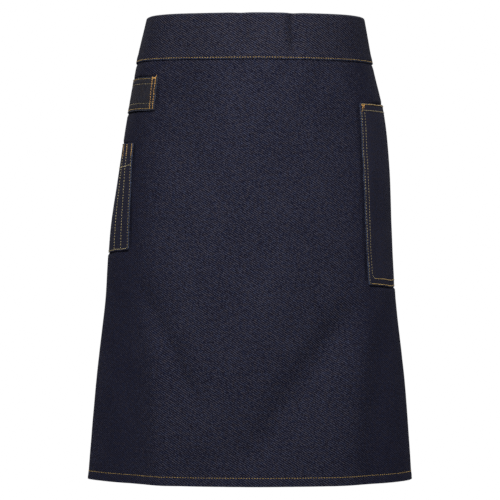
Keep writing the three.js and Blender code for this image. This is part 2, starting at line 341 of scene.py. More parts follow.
def across_at_back(drop):
    return np.interp(drop, DROP_FROM + DROP_STEP * np.arange(DROP_ROWS), BACK)


def fold_height(across, drop):
    height = 0
    for numbers in FOLDS:
        fold = dict(zip(FOLD_COLUMNS, numbers))
        along = (drop / LENGTH - fold["drop_top"]) / (fold["drop_foot"] - fold["drop_top"])
        centre = mix(fold["across_top"], fold["across_foot"], along) * PANEL_WIDTH
        strength = within(along, 1, FOLD_FADE)
        ridge = bell(across - centre, fold["width"] * PANEL_WIDTH)
        height = height + fold["height"] * FOLD_DEPTH * strength * ridge
    return height


# How much lower a place on a pocket is than a level foot would have it.
def pocket_sag(pocket, u, v):
    return POCKET_SAG * smooth(u / SAG_REACH) * np.clip(v / pocket["height"], 0, 1) ** 2


# What the whole stack of cloth follows: the folds, the fuller hips and the slight unevenness of
# hanging cloth, which dies away before the ties and is less at the sides.
def relief(across, drop):
    beside = smooth((np.abs(across) - 110) / 60)
    in_front = 1 - 0.75 * beside
    hips = 0.8 * beside * smooth((drop - 58) / 8) * (1 - smooth((drop - 330) / 40))
    before_ties = 1 - smooth((np.abs(across) - 300) / 40)
    waves = 0.6 * undulation(across, drop, 130, 11) + 0.26 * undulation(across, drop, 48, 12)
    pressed = (
        pressed_in(-across - LOOP_ACROSS, drop - LOOP_DROP, LOOP_LENGTH, LOOP_HEIGHT)
        * (SEAM_GAP + LOOP_THICKNESS + 0.5 * LOOP_FULLNESS)
    )
    for pocket in (PATCH, PEN):
        inward = pocket["side"] * across - pocket["across"] - pocket["lean"]
        depth = POCKET_PROUD + 0.6 * pocket["fullness"]
        below = drop - pocket["drop"]
        below = below - pocket_sag(pocket, inward, below)
        share = pressed_in(inward, below, pocket["width"], pocket["height"])
        pressed = np.maximum(pressed, depth * share)
    return fold_height(across, drop) + (waves * in_front + hips) * before_ties - pressed


# From 0 to 1 under a piece. inward is the distance from its front edge, below from its top.
def pressed_in(inward, below, length, height):
    along = within(inward, length, PRESS_REACH)
    above = smooth((below / PRESS_STEP + 1.25) / 2)
    under = smooth(((height - below) / PRESS_STEP + 1.25) / 2)
    return along * above * under


def on_cloth(across, drop, out=0.0):
    across, drop, out = np.broadcast_arrays(*(np.asarray(v, float) for v in (across, drop, out)))
    row = np.clip((drop - DROP_FROM) / DROP_STEP, 0, DROP_ROWS - 1.001)
    column = np.clip(across + ACROSS_REACH, 0, 2 * ACROSS_REACH - 0.001)
    i = row.astype(int)
    j = column.astype(int)
    s = (row - i)[..., None]
    t = (column - j)[..., None]
    upper = mix(SURFACE[i, j], SURFACE[i, j + 1], t)
    lower = mix(SURFACE[i + 1, j], SURFACE[i + 1, j + 1], t)
    x, y, out_x, out_y = np.moveaxis(mix(upper, lower, s), -1, 0)
    lift = out + relief(across, drop)
    length = np.hypot(out_x, out_y)
    return np.stack(
        [x + out_x / length * lift, y + out_y / length * lift, BAND_MIDDLE - drop], -1
    )


# Meshes
CLOTH_MAP = "cloth"


# An object from points in millimetres and faces of four corners. uv is the place of each point
# on the flat cloth, in millimetres, and marks are named values from 0 to 1 for the material.
def mesh_object(name, points, faces, material, uv=None, marks=None):
    points = np.asarray(points, float).reshape(-1, 3)
    corners = points[faces]
    across_a = corners[:, 2] - corners[:, 0]
    across_b = corners[:, 3] - corners[:, 1]
    volume = np.einsum("ij,ij->i", corners.mean(1), np.cross(across_a, across_b)).sum()
    if volume < 0:
        faces = faces[:, ::-1]
    mesh = bpy.data.meshes.new(name)
    mesh.from_pydata((points / 1000).tolist(), [], faces.tolist())
    mesh.shade_smooth()
    if uv is not None:
        layer = mesh.uv_layers.new(name=CLOTH_MAP)
        flat = np.asarray(uv, float).reshape(-1, 2) / 1000
        order = np.empty(len(mesh.loops), int)
        mesh.loops.foreach_get("vertex_index", order)
        layer.data.foreach_set("uv", flat[order].ravel())
    for mark, values in (marks or {}).items():
        attribute = mesh.attributes.new(mark, "FLOAT", "POINT")
        attribute.data.foreach_set("value", np.asarray(values, np.float32).ravel())
    mesh.materials.append(material)
    piece = bpy.data.objects.new(name, mesh)
    bpy.context.scene.collection.objects.link(piece)
    return piece


def finish_piece(piece, slot, *nodes):
    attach(piece, "root")
    if nodes:
        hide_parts(*nodes)
    return piece


# The faces of a closed sheet: a grid of points for its outer face, one for its inner face, and
# the rim between them.
def shell_faces(columns, rows):
    count = columns * rows
    index = np.arange(count).reshape(columns, rows)
    a, b, c, d = index[:-1, :-1], index[1:, :-1], index[1:, 1:], index[:-1, 1:]
    outer = np.stack([a, d, c, b], -1).reshape(-1, 4)
    inner = np.stack([a, b, c, d], -1).reshape(-1, 4) + count
    loop = np.concatenate([index[:, 0], index[-1, 1:], index[-2::-1, -1], index[0, -2:0:-1]])
    after = np.roll(loop, -1)
    rim = np.stack([loop, after, after + count, loop + count], -1)
    return np.concatenate([outer, inner, rim])


# The points' numbers in a tube that joins rings of points, and the faces round it.
def tube_faces(count, sides):
    index = np.arange(count * sides).reshape(count, sides)
    beside = np.roll(index, -1, axis=1)
    return index, np.stack([index[:-1], beside[:-1], beside[1:], index[1:]], -1).reshape(-1, 4)


# The faces of such a tube with its ends closed by quads.
def closed_tube_faces(count, sides):
    k = np.arange(sides // 2 - 1)
    cap = np.stack([k, k + 1, sides - 2 - k, sides - 1 - k], -1)
    return np.concatenate([tube_faces(count, sides)[1], cap[:, ::-1], cap + (count - 1) * sides])


# The share of a cloth's half thickness at a distance from its edge, where it is rounded.
def rounding(distance):
    inward = 1 - np.clip(distance / EDGE_ROUND, 0, 1)
    return mix(EDGE_THICKNESS, 1, np.sqrt(1 - inward**2))


# The given lines, and the same ones from the other end of a length.
def both_ends(length, lines):
    return [*lines, *(length - line for line in lines)]


# Steps over a length, close together at both ends and near the given lines.
def cloth_steps(length, step, lines=()):
    steps = list(np.linspace(0, length, int(round(length / step)) + 1))
    near_edge = (0.1, 0.35, 0.8, 1.6, 2.4)
    steps += near_edge
    steps += [length - value for value in near_edge]
    for line in lines:
        steps += [line + value for value in (-1.6, -0.8, 0, 0.8, 1.6)]
    steps = np.unique(np.round([value for value in steps if 0 <= value <= length], 3))
    keep = np.concatenate([[True], np.diff(steps) > 0.08])
    keep[-1] = True
    return steps[keep]


# From 0 in front to 1 on the hips, where the weave is painted fainter, as the light that grazes the hips
# shows it.
def grazing_light_fade(across):
    return smooth((np.abs(across) - 95) / 85) * (1 - 0.8 * smooth((np.abs(across) - 215) / 60))


# Painted shade: how much darker the colour is made to the left and right of the front of the
# waistband and of the panel's top, where the light falls less than on the front.
def painted_side_shade(across, drop):
    beside = 0.34 * smooth((-30 - across) / 50) + 0.2 * smooth((across - 45) / 50)
    return beside * (1 - smooth((drop - 90) / 150))


# A sheet over steps of u and v. face(u, v) gives across, drop and the outside's out, and
# thickness(u, v) how thick the cloth is. The last two functions give the marks of the pale edges,
# which are wear and painted highlight, and of the painted shade.
def sheet(name, material, u, v, face, thickness, wear_and_highlight, painted_shade=None):
    faces = shell_faces(len(u), len(v))
    to_side = np.minimum(u - u[0], u[-1] - u)
    edge = np.minimum(to_side[:, None], np.minimum(v - v[0], v[-1] - v))
    u, v = np.meshgrid(u, v, indexing="ij")
    across, drop, outside = np.broadcast_arrays(*face(u, v))
    thick = thickness(u, v)
    middle = outside - thick / 2
    half = thick / 2 * rounding(edge)
    points = [on_cloth(across, drop, middle + sign * half) for sign in (1, -1)]
    flat = np.stack([across + ACROSS_REACH, LENGTH - drop], -1)
    marks = {"wear_and_highlight": wear_and_highlight(u, v, edge), "grazing_light_fade": grazing_light_fade(across)}
    if painted_shade:
        marks["painted_shade"] = painted_shade(u, v)
    marks = {mark: [values, values] for mark, values in marks.items()}
    marks["inside"] = [np.zeros_like(edge), np.ones_like(edge)]
    return mesh_object(name, points, faces, material, [flat, flat], marks)


# Materials


class Nodes:
    """Adds nodes to a material or world. A value for an input is a number, a colour or a socket."""

    def __init__(self, tree):
        self.tree = tree
        tree.nodes.clear()

    def put(self, socket, value):
        if isinstance(value, bpy.types.NodeSocket):
            self.tree.links.new(value, socket)
        else:
            socket.default_value = value

    def add(self, kind, inputs=None, **settings):
        node = self.tree.nodes.new("ShaderNode" + kind)
        for name, value in settings.items():
            setattr(node, name, value)
        for name, value in (inputs or {}).items():
            self.put(node.inputs[name], value)
        return node

    def math(self, operation, a, b=0.0, c=0.0):
        return self.add("Math", {0: a, 1: b, 2: c}, operation=operation).outputs[0]

    def times(self, a, b):
        return self.math("MULTIPLY", a, b)

    def scale_add(self, value, factor, added):
        return self.math("MULTIPLY_ADD", value, factor, added)

    def scaled(self, vector, scale):
        scale = scale if isinstance(scale, tuple) else (scale, scale, scale)
        return self.add("Mapping", {"Vector": vector, "Scale": scale}).outputs[0]

    def noise(self, vector, scale, detail=2.0, rough=0.5):
        place = self.scaled(vector, scale)
        inputs = {"Vector": place, "Scale": 1.0, "Detail": detail, "Roughness": rough}
        return self.add("TexNoise", inputs).outputs["Fac"]

    def mark(self, name):
        return self.add("Attribute", attribute_name=name).outputs["Fac"]

    def ramp(self, value, stops):
        node = self.add("ValToRGB", {"Fac": value})
        elements = node.color_ramp.elements
        while len(elements) < len(stops):
            elements.new(0.5)
        for element, (position, colour) in zip(elements, stops):
            element.position = position
            element.color = (*colour, 1)
        return node.outputs["Color"]

    def blend(self, share, a, b, mode="MIX"):
        node = self.add("Mix", data_type="RGBA", blend_type=mode)
        for socket, value in ((0, share), (6, a), (7, b)):
            self.put(node.inputs[socket], (*value, 1) if isinstance(value, tuple) else value)
        return node.outputs[2]


def new_material(name):
    material = bpy.data.materials.new(name)
    material.use_nodes = True
    return material, Nodes(material.node_tree)


TWILL_ANGLE = math.radians(33.0)
TWILL_PITCH = 2.38
# The blue of the pale edges, partly wear and partly painted highlight
WORN_AND_LIT_BLUE = (0.16, 0.22, 0.36)
COOL_DYE = (0.9, 1.0, 1.12)
WARM_DYE = (1.1, 1.0, 0.88)
PALE_GREYNESS = 0.8  # below 1, so that pale threads are greyer than dark ones

# How light a thread of the weave is, as shares of the cloth's mean colour, from its darkest
# to its lightest threads.
WEAVE_TONES = ((0.0, 0.22), (0.25, 0.5), (0.5, 0.88), (0.75, 1.7), (1.0, 3.6))
REVERSE_BLUE = (0.055, 0.058, 0.078)
REVERSE_TONES = ((0.0, 0.35), (0.3, 0.7), (0.6, 1.25), (1.0, 2.6))


def weave_stops(base, tones):
    red, green, blue = base
    stops = []
    for position, share in tones:
        stops.append((position, (share * red, share * green, share**PALE_GREYNESS * blue)))
    return stops


# Twill denim. base is its mean colour, grain how much single threads differ from it, and lines
# how much the twill's diagonal lines show.
def denim(name, base, grain=1.0, lines=1.0):
    material, n = new_material(name)
    uv = n.add("UVMap", uv_map=CLOTH_MAP).outputs["UV"]
    place = n.scaled(uv, 1000)

    # Diagonal lines, broken up by a slow drift and by uneven threads
    axes = n.add("SeparateXYZ", {0: place})
    drift = n.noise(place, 0.09)
    along_x = n.times(axes.outputs[0], math.sin(TWILL_ANGLE))
    along_y = n.times(axes.outputs[1], math.cos(TWILL_ANGLE))
    slant = n.math("ADD", along_x, along_y)
    slant = n.scale_add(drift, 1.6, slant)
    twill = n.math("SINE", n.times(slant, 2 * math.pi / TWILL_PITCH))
    fine = n.math("SINE", n.times(slant, 6 * math.pi / TWILL_PITCH))
    broken = n.noise(place, 0.35)
    broken = n.scale_add(broken, 4.0, -1.0)

    # Single threads, threads of uneven thickness, and broad lighter and darker patches
    cells = n.add("TexVoronoi", {"Vector": n.scaled(place, (1.5, 1.3, 1.0)), "Scale": 1.0})
    cell = n.add("SeparateColor", {0: cells.outputs["Color"]}).outputs[0]
    fleck = n.math("SUBTRACT", cell, 0.5)
    slub = n.math("SUBTRACT", n.noise(place, (1.1, 0.045, 1.0)), 0.5)
    weft = n.math("SUBTRACT", n.noise(place, (0.06, 1.0, 1.0)), 0.5)
    patch = n.math("SUBTRACT", n.noise(place, 0.018, 3.0, 0.6), 0.5)

    weave = n.times(n.times(twill, broken), 0.38 * lines)
    weave = n.scale_add(fine, 0.05 * lines, weave)
    weave = n.scale_add(fleck, 0.57 * grain, weave)
    weave = n.scale_add(slub, 0.12 * grain, weave)
    weave = n.scale_add(weft, 0.08 * grain, weave)
    # The weave is painted fainter on the hips, as the grazing light there shows it.
    shown = n.scale_add(n.mark("grazing_light_fade"), -0.62, 1.14)
    tone = n.scale_add(weave, shown, 0.5)
    tone = n.scale_add(patch, 0.2, tone)
    face = n.ramp(tone, weave_stops(base, WEAVE_TONES))
    dyed = n.noise(place, (0.22, 0.25, 1.0))
    dyed = n.scale_add(dyed, 3.0, -1.0)
    face = n.blend(1.0, face, n.blend(dyed, COOL_DYE, WARM_DYE), "MULTIPLY")
    back = n.ramp(tone, weave_stops(REVERSE_BLUE, REVERSE_TONES))

    # The paler reverse, the painted shade beside the pockets' and the loop's edges and to the
    # left and right of the waistband's and the panel's top, and the pale fold edges, which are wear
    # and painted highlight
    cloth = n.blend(n.mark("inside"), face, back)
    shade = n.times(n.mark("painted_shade"), 0.6)
    shaded_cloth = n.blend(shade, cloth, tuple(0.15 * value for value in base))
    # Pale blue specks along the edges: wear, and painted highlight where the fold edges catch the light
    speck = n.noise(place, 0.9)
    worn_and_lit = n.times(n.mark("wear_and_highlight"), n.scale_add(speck, 4.5, -2.1))
    worn_and_lit = n.add("Clamp", {0: worn_and_lit}).outputs[0]
    colour = n.blend(n.times(worn_and_lit, 0.7), shaded_cloth, WORN_AND_LIT_BLUE)

    height = n.math("ADD", n.times(fine, 0.35), n.times(fleck, 0.6))
    height = n.scale_add(twill, 0.4, height)
    bump = n.add("Bump", {"Strength": 0.35, "Distance": 0.00035, "Height": height})
    rough = n.scale_add(cell, -0.12, 0.95)
    surface = n.add(
        "BsdfPrincipled",
        {
            "Base Color": colour,
            "Roughness": rough,
            "Specular IOR Level": 0.01,
            "Sheen Weight": 0.006,
            "Sheen Roughness": 0.6,
            "Normal": bump.outputs[0],
        },
    )
    n.add("OutputMaterial", {0: surface.outputs[0]})
    return material


# Spun thread, with its twist and small changes of colour along a row.
def thread(name, colour, deep_colour):
    material, n = new_material(name)
    place = n.add("TexCoord").outputs["Object"]
    patch = n.noise(place, 160)
    ply = n.noise(place, 2600, 1.0)
    mixed = n.math("ADD", n.times(patch, 1.3), n.scale_add(ply, 0.5, -0.4))
    tint = n.ramp(mixed, [(0.2, deep_colour), (0.8, colour)])
    bump = n.add("Bump", {"Strength": 0.3, "Distance": 0.0001, "Height": ply})
    surface = n.add(
        "BsdfPrincipled",
        {
            "Base Color": tint,
            "Roughness": n.scale_add(ply, 0.2, 0.5),
            "Specular IOR Level": 0.25,
            "Sheen Weight": 0.1,
            "Normal": bump.outputs[0],
        },
    )
    n.add("OutputMaterial", {0: surface.outputs[0]})
    return material


DENIM_PANEL = denim("denim_panel", (0.0180, 0.0181, 0.0342))
DENIM_BAND = denim("denim_band", (0.0195, 0.0192, 0.0345), grain=0.95, lines=1.2)
DENIM_POCKET = denim("denim_pocket", (0.0246, 0.0246, 0.0422), grain=0.4, lines=0.2)
DENIM_LOOP = denim("denim_loop", (0.0292, 0.0284, 0.0365), grain=0.7, lines=0.3)
DENIM_TIE = denim("denim_tie", (0.0190, 0.0187, 0.0330), grain=0.7, lines=0.5)
GOLD = thread("gold_thread", (0.55, 0.38, 0.12), (0.30, 0.19, 0.06))
TAN = thread("tan_thread", (0.40, 0.33, 0.17), (0.19, 0.15, 0.08))
PALE_GOLD = thread("pale_gold_thread", (0.62, 0.52, 0.27), (0.32, 0.26, 0.13))
AMBER = thread("amber_thread", (0.66, 0.41, 0.14), (0.38, 0.23, 0.08))
ORANGE = thread("orange_thread", (0.84, 0.47, 0.13), (0.52, 0.27, 0.08))


# Stitches
STITCH_STATIONS = np.array([0.0, 0.1, 0.3, 0.7, 0.9, 1.0])
STITCH_HEIGHTS = np.array([-0.35, 0.05, 0.26, 0.26, 0.05, -0.35])
STITCH_WIDTHS = np.array([0.5, 0.85, 1.0, 1.0, 0.85, 0.5])
STITCH_SIDES = 6
STITCH_GAP = 0.34  # the share of the pitch between two stitches

stitch_rng = np.random.default_rng(5)


# One row of stitches along a path of (u, v) on a face. side is -1 for the cloth's other face.
def row(face, path, pitch=STITCH, side=1, radius=THREAD_RADIUS, wander=0.1, gap=STITCH_GAP):
    path = np.array(path, float)
    reached = np.concatenate([[0], np.cumsum(np.hypot(*np.diff(path, axis=0).T))])
    count = max(1, int(round(reached[-1] / pitch)))
    step = reached[-1] / count
    begin = (np.arange(count) + gap / 2) * step
    length = step * (1 - gap) * (1 + 0.06 * stitch_rng.standard_normal(count))
    at = begin[:, None] + length[:, None] * STITCH_STATIONS
    u = np.interp(at, reached, path[:, 0])
    v = np.interp(at, reached, path[:, 1])
    along_u = (u[:, -1] - u[:, 0])[:, None]
    along_v = (v[:, -1] - v[:, 0])[:, None]
    long = np.hypot(along_u, along_v) + 1e-9
    ends = stitch_rng.standard_normal((count, 2)) * wander
    sideways = mix(ends[:, :1], ends[:, 1:], STITCH_STATIONS)
    u = u - along_v / long * sideways
    v = v + along_u / long * sideways
    across, drop, out = np.broadcast_arrays(*face(u, v))
    centre = on_cloth(across, drop, out + side * STITCH_HEIGHTS * radius / THREAD_RADIUS)
    normal = on_cloth(across, drop, out + side * 5) - on_cloth(across, drop, out)
    normal /= np.linalg.norm(normal, axis=-1, keepdims=True)
    ahead = np.gradient(centre, axis=1)
    beside = np.cross(ahead, normal)
    beside /= np.linalg.norm(beside, axis=-1, keepdims=True)
    turn = np.linspace(0, 2 * np.pi, STITCH_SIDES, endpoint=False)[:, None]
    thickness = (radius * STITCH_WIDTHS)[:, None, None]
    rings = centre[:, :, None] + thickness * (
        np.cos(turn) * beside[:, :, None] + 0.85 * np.sin(turn) * normal[:, :, None]
    )
    return rings


# Short close stitches across a line, as a bar tack has.
def bar(face, start, end, width=2.0, spacing=0.55, radius=0.34):
    start = np.array(start, float)
    end = np.array(end, float)
    length = np.hypot(*(end - start))
    along = (end - start) / length
    across = np.array([-along[1], along[0]]) * width / 2
    rings = []
    for k in range(int(length / spacing) + 1):
        centre = start + along * spacing * k
        rings.append(
            row(face, [centre - across, centre + across], width, radius=radius, wander=0.04, gap=0)
        )
    return rings


def thread_object(name, rows, material):
    rings = np.concatenate(rows)
    count, stations, sides = rings.shape[:3]
    index, tube = tube_faces(stations, sides)
    first, last = index[0], index[-1]
    caps = [first[[3, 2, 1, 0]], first[[5, 4, 3, 0]], last[[0, 1, 2, 3]], last[[0, 3, 4, 5]]]
    one = np.concatenate([tube, caps])
    faces = (one[None] + (np.arange(count) * stations * sides)[:, None, None]).reshape(-1, 4)
    piece = mesh_object(name, rings, faces, material)
    return finish_piece(piece, "thread")


# The skirt panel


# How far the panel's outer face is from the draped surface: puckers under the waistband, the
# roped hem, the side hems, and the dips beside the pockets' and the loop's edges.
def panel_out(across, drop):
    below = np.clip(drop - BAND_HEIGHT, 0, None)
    pucker = 0.22 * ripple(across, 13, 21) * bell(below, 16) * smooth(below / 4)
    hem_top = LENGTH - HEM_STITCH
    in_hem = smooth((drop - hem_top) / 3)
    roping = 0.22 * ripple(across + 0.8 * (drop - hem_top), 19, 22) * smooth((drop - 580) / 14)
    stitched = -0.22 * bell(drop - hem_top, 1.2)
    side = np.abs(across) - (PANEL_WIDTH / 2 - SIDE_HEM)
    at_stitch = bell(side - (SIDE_HEM - SIDE_STITCH), 1.2)
    in_side_hem = 0.2 * smooth(side / 2) - 0.2 * at_stitch
    return pucker + 0.25 * in_hem + roping + stitched + in_side_hem - 0.5 * beside_edges(across, drop)


# From 0 to 1 in the narrow shadowed strips just outside the pockets' and the loop's edges.
def beside_edges(across, drop):
    total = 0
    for pocket, reach in ((PATCH, 3.2), (PEN, 2.2)):
        down = (drop - pocket["drop"]) / pocket["height"]
        edge = pocket["side"] * pocket_front(pocket, down)
        beyond = (edge - across) * pocket["side"]
        along_it = smooth((down + 0.01) * 40) * smooth((1.0 - down) * 40)
        total = total + bell(beyond - reach / 2, reach / 1.6) * along_it
        inward = (across - edge) * pocket["side"]
        under = drop - pocket["drop"] - pocket["height"]
        under = under - pocket_sag(pocket, inward, pocket["height"])
        in_width = within(inward, pocket["width"], 4)
        total = total + bell(under - 1.2, 1.5) * in_width
    down = (drop - LOOP_DROP) / LOOP_HEIGHT
    beyond = across + LOOP_ACROSS + LOOP_LEAN * down
    total = total + bell(beyond - 2.2, 2.2) * smooth((down - 0.15) * 8) * smooth((1 - down) * 30)
    under = drop - LOOP_DROP - LOOP_HEIGHT
    in_length = within(-beyond, LOOP_LENGTH, 3)
    return np.clip(total + bell(under - 1.5, 1.8) * in_length, 0, 1)


# Painted shade: darker colour in the strips beside the pockets' and the loop's edges, and to the left and
# right of the panel's top.
def panel_painted_shade(across, drop):
    return np.maximum(beside_edges(across, drop), painted_side_shade(across, drop))


def panel_face(across, drop):
    return across, drop, panel_out(across, drop)


def panel_thickness(across, drop):
    hem = smooth((drop - (LENGTH - HEM_HEIGHT)) / HEM_STEP)
    side_hem = smooth((np.abs(across) - (PANEL_WIDTH / 2 - SIDE_HEM)) / HEM_STEP)
    side_hem = side_hem * smooth((drop - BAND_HEIGHT) / 2)
    return CLOTH + (HEM_THICKNESS - CLOTH) * np.maximum(hem, side_hem)


def skirt_panel():
    top = BAND_HEIGHT - SEAM_ALLOWANCE
    across = cloth_steps(PANEL_WIDTH, PANEL_STEP, both_ends(PANEL_WIDTH, [SIDE_STITCH])) - PANEL_WIDTH / 2
    lines = [LENGTH - HEM_STITCH, LOOP_DROP, LOOP_DROP + LOOP_HEIGHT]
    for pocket in (PATCH, PEN):
        lines += [pocket["drop"], pocket["drop"] + pocket["height"]]
    drop = cloth_steps(LENGTH - top, PANEL_STEP, [line - top for line in lines]) + top
    piece = sheet(
        "skirt_panel_cloth", DENIM_PANEL, across, drop, panel_face, panel_thickness,
        lambda u, v, edge: 0.35 * bell(edge, EDGE_WEAR_AND_HIGHLIGHT), panel_painted_shade,
    )
    return finish_piece(piece, "denim_panel", "skirt_panel")


def panel_inside(across, drop):
    return across, drop, panel_out(across, drop) - panel_thickness(across, drop)


def skirt_thread():
    hem = LENGTH - HEM_STITCH
    side = PANEL_WIDTH / 2 - SIDE_STITCH
    paths = [
        [(-PANEL_WIDTH / 2 + 1, hem), (PANEL_WIDTH / 2 - 1, hem)],
        [(-side, BAND_HEIGHT + 1), (-side, hem)],
        [(side, BAND_HEIGHT + 1), (side, hem)],
    ]
    rows = [row(panel_face, path) for path in paths]
    rows += [row(panel_inside, path, side=-1) for path in paths]
    return thread_object("skirt_thread", rows, GOLD)


# The waistband


# The out of the band's outer face (side 1) or inner face (side -1).
def band_wall(across, drop, side):
    turned = 0.4 * smooth((drop - (BAND_HEIGHT - SEAM_ALLOWANCE)) / 5)
    stitched = -0.3 * bell(drop - BAND_STITCH, 0.9)
    pucker = 0.12 * ripple(across, 11, 31) * smooth((drop - 40) / 14)
    slack = 0.2 * undulation(across, drop, 60, 32) * smooth(drop / 12)
    swell = turned + stitched + pucker + slack
    return SLOT_MIDDLE + side * (SLOT / 2 + CLOTH + np.clip(swell, -0.6, 1))


def band_face(across, drop):
    return across, drop, band_wall(across, drop, 1)


def band_inside(across, drop):
    return across, drop, band_wall(across, drop, -1)


# The band's rows of points, as heights above its lower edge
BAND_ROWS = (0, 0.15, 0.4, 0.8, 1.3, 1.9, 2.6, 3.4, 4.5, 6, 8, 10, 12, 14, 17, 21, 26, 32, 39, 46, 52)


# One strip folded over at the top. The outline goes up the outer wall's inner face, over the
# fold and down the inner wall, and comes back round the outside.
def waistband():
    across = cloth_steps(PANEL_WIDTH, 2.2) - PANEL_WIDTH / 2
    fold = SLOT / 2 + CLOTH
    walls = np.append(BAND_HEIGHT - np.array(BAND_ROWS), fold + 0.6)
    turns = np.linspace(0, np.pi, 9)[1:-1]
    edge = rounding(BAND_HEIGHT - walls)

    # One face of a wall. sign is 1 for the face away from the slot.
    def wall(side, sign):
        outside = band_wall(across[:, None], walls[None], side)
        in_slot = SLOT_MIDDLE + side * SLOT / 2
        out = (outside + in_slot) / 2 + sign * ((outside - in_slot) / 2) * edge
        return out, np.broadcast_to(walls, out.shape)

    def arc(radius, side):
        shape = (len(across), len(turns))
        out = SLOT_MIDDLE + side * radius * np.cos(turns)
        return np.broadcast_to(out, shape), np.broadcast_to(fold - radius * np.sin(turns), shape)

    def backwards(part):
        return [values[:, ::-1] for values in part]

    parts = [wall(1, -1), arc(SLOT / 2, 1), backwards(wall(-1, -1))]
    parts += [wall(-1, 1), arc(fold, -1), backwards(wall(1, 1))]
    out, drop = (np.concatenate(values, 1) for values in zip(*parts))
    points = on_cloth(across[:, None], drop, out)
    around = np.where(out > SLOT_MIDDLE, -drop, drop)
    flat = np.stack(np.broadcast_arrays(across[:, None] + ACROSS_REACH, around + LENGTH), -1)
    place = np.arange(out.shape[1])
    inner_wall = (place >= len(walls)) & (place < len(place) - len(walls))
    marks = {
        # The pale top fold and lower edge: wear and painted highlight
        "wear_and_highlight": 0.8 * bell(BAND_HEIGHT - drop, 0.8) + 0.25 * bell(drop, 1.2),
        # Painted shade to the left and right of the band's front
        "painted_shade": painted_side_shade(across[:, None], drop),
        "inside": np.broadcast_to(np.where(inner_wall, 0.35, 0.0), out.shape),
        "grazing_light_fade": np.broadcast_to(grazing_light_fade(across)[:, None], out.shape),
    }
    faces = closed_tube_faces(*out.shape)
    piece = mesh_object("waistband_cloth", points, faces, DENIM_BAND, flat, marks)
    return finish_piece(piece, "denim_band", "waistband")


# The same row of stitches on both faces of the waistband.
def band_rows(path, pitch=STITCH):
    return [row(band_face, path, pitch), row(band_inside, path, pitch, side=-1)]


# The long seam, and at each end a box with a cross over the tie and a row that closes the band.
def waistband_thread():
    inset = 3
    end = PANEL_WIDTH / 2 - inset
    inner = PANEL_WIDTH / 2 - TIE_INSERT + inset
    high = BAND_MIDDLE - TIE_WIDTH / 2 + inset
    low = BAND_MIDDLE + TIE_WIDTH / 2 - inset
    box = [(inner, high), (end, high), (end, low), (inner, low), (inner, high), (end, low)]
    closing = [(end, inset), (end, BAND_STITCH)]
    rows = band_rows([(-end, BAND_STITCH), (end, BAND_STITCH)])
    for side in (-1, 1):
        for path in (box, closing):
            rows += band_rows([(side * u, v) for u, v in path], 3.0)
    return thread_object("waistband_thread", rows, GOLD)


# Pockets


# The across of a pocket's front edge, towards +X whatever its side.
def pocket_front(pocket, down):
    return pocket["across"] + pocket["lean"] * np.clip(down, 0, 1) ** pocket["lean_power"]


# u is the distance from the front edge and v the distance below the mouth.
def pocket_outside(pocket, u, v):
    share = v / pocket["height"]
    fullest = np.sin(np.pi * np.clip(u / pocket["width"], 0, 1)) * (1 - share**3)
    outside = SEAM_GAP + TURNED_EDGE + pocket["fullness"] * fullest
    outside = outside + 0.5 * bell(u, 2.0) * smooth(share * 8)
    for line in pocket["lines"]:
        outside = outside - 0.3 * bell(u - line, 1.1)
    return outside + 0.1 * ripple(v + 2 * u, 17, 41) * bell(u - 5, 8)


def pocket_place(pocket, u, v):
    width, height = pocket["width"], pocket["height"]
    # Corners are rounded by drawing the square corner's points in to a circle.
    to_side = np.maximum(POCKET_CORNER - u, u - (width - POCKET_CORNER))
    to_end = np.maximum(POCKET_CORNER - v, v - (height - POCKET_CORNER))
    in_corner = (to_side > 0) & (to_end > 0)
    longest = np.maximum(to_side, to_end)
    distance = np.where(in_corner, np.hypot(to_side, to_end), 1)
    shrink = np.where(in_corner, longest / distance, 1)
    u = np.where(in_corner, u + np.sign(width / 2 - u) * to_side * (1 - shrink), u)
    v = np.where(in_corner, v + np.sign(height / 2 - v) * to_end * (1 - shrink), v)
    wobble = 0.25 * ripple(v, 60, 42) * bell(u, 12)
    across = pocket["side"] * (pocket_front(pocket, v / height) + u + wobble)
    sag = pocket_sag(pocket, u, v) + 0.4 * ripple(u, 70, 43) * smooth(v / height)
    return across, pocket["drop"] + v + sag, pocket_outside(pocket, u, v)


def pocket_thickness(pocket, u, v):
    to_side = np.minimum(u, pocket["width"] - u)
    in_hem = smooth((pocket["mouth_hem"] - v) / HEM_STEP)
    in_foot = smooth((v - (pocket["height"] - POCKET_EDGE)) / HEM_STEP)
    in_edge = smooth((POCKET_EDGE - to_side) / HEM_STEP)
    thick = np.maximum(np.maximum(in_hem, in_foot), in_edge)
    return CLOTH + (TURNED_EDGE - CLOTH) * thick


def pocket_cloth(node, pocket):
    height = pocket["height"]
    u = cloth_steps(pocket["width"], POCKET_STEP, pocket["lines"])
    rows = (2, POCKET_EDGE, height - FOOT_ROW, height - INNER_FOOT_ROW)
    v = cloth_steps(height, POCKET_STEP, rows)

    # The pale edges: wear and painted highlight
    def wear_and_highlight(u, v, edge):
        foot = bell(height - v, EDGE_WEAR_AND_HIGHLIGHT) * bell(u, 6)
        return np.clip(bell(u, EDGE_WEAR_AND_HIGHLIGHT) + foot + 0.45 * bell(v, EDGE_WEAR_AND_HIGHLIGHT), 0, 1)

    face = partial(pocket_place, pocket)
    thickness = partial(pocket_thickness, pocket)
    piece = sheet(node + "_cloth", DENIM_POCKET, u, v, face, thickness, wear_and_highlight)
    return finish_piece(piece, "denim_pocket", node)


patch_face = partial(pocket_place, PATCH)
pen_face = partial(pocket_place, PEN)


# The part of a row that turns a corner, from (u, v - radius) to (u + radius, v).
def turn_path(u, v, radius):
    angles = np.linspace(0, np.pi / 2, 7)
    return [(u + radius * (1 - math.cos(a)), v - radius * (1 - math.sin(a))) for a in angles]


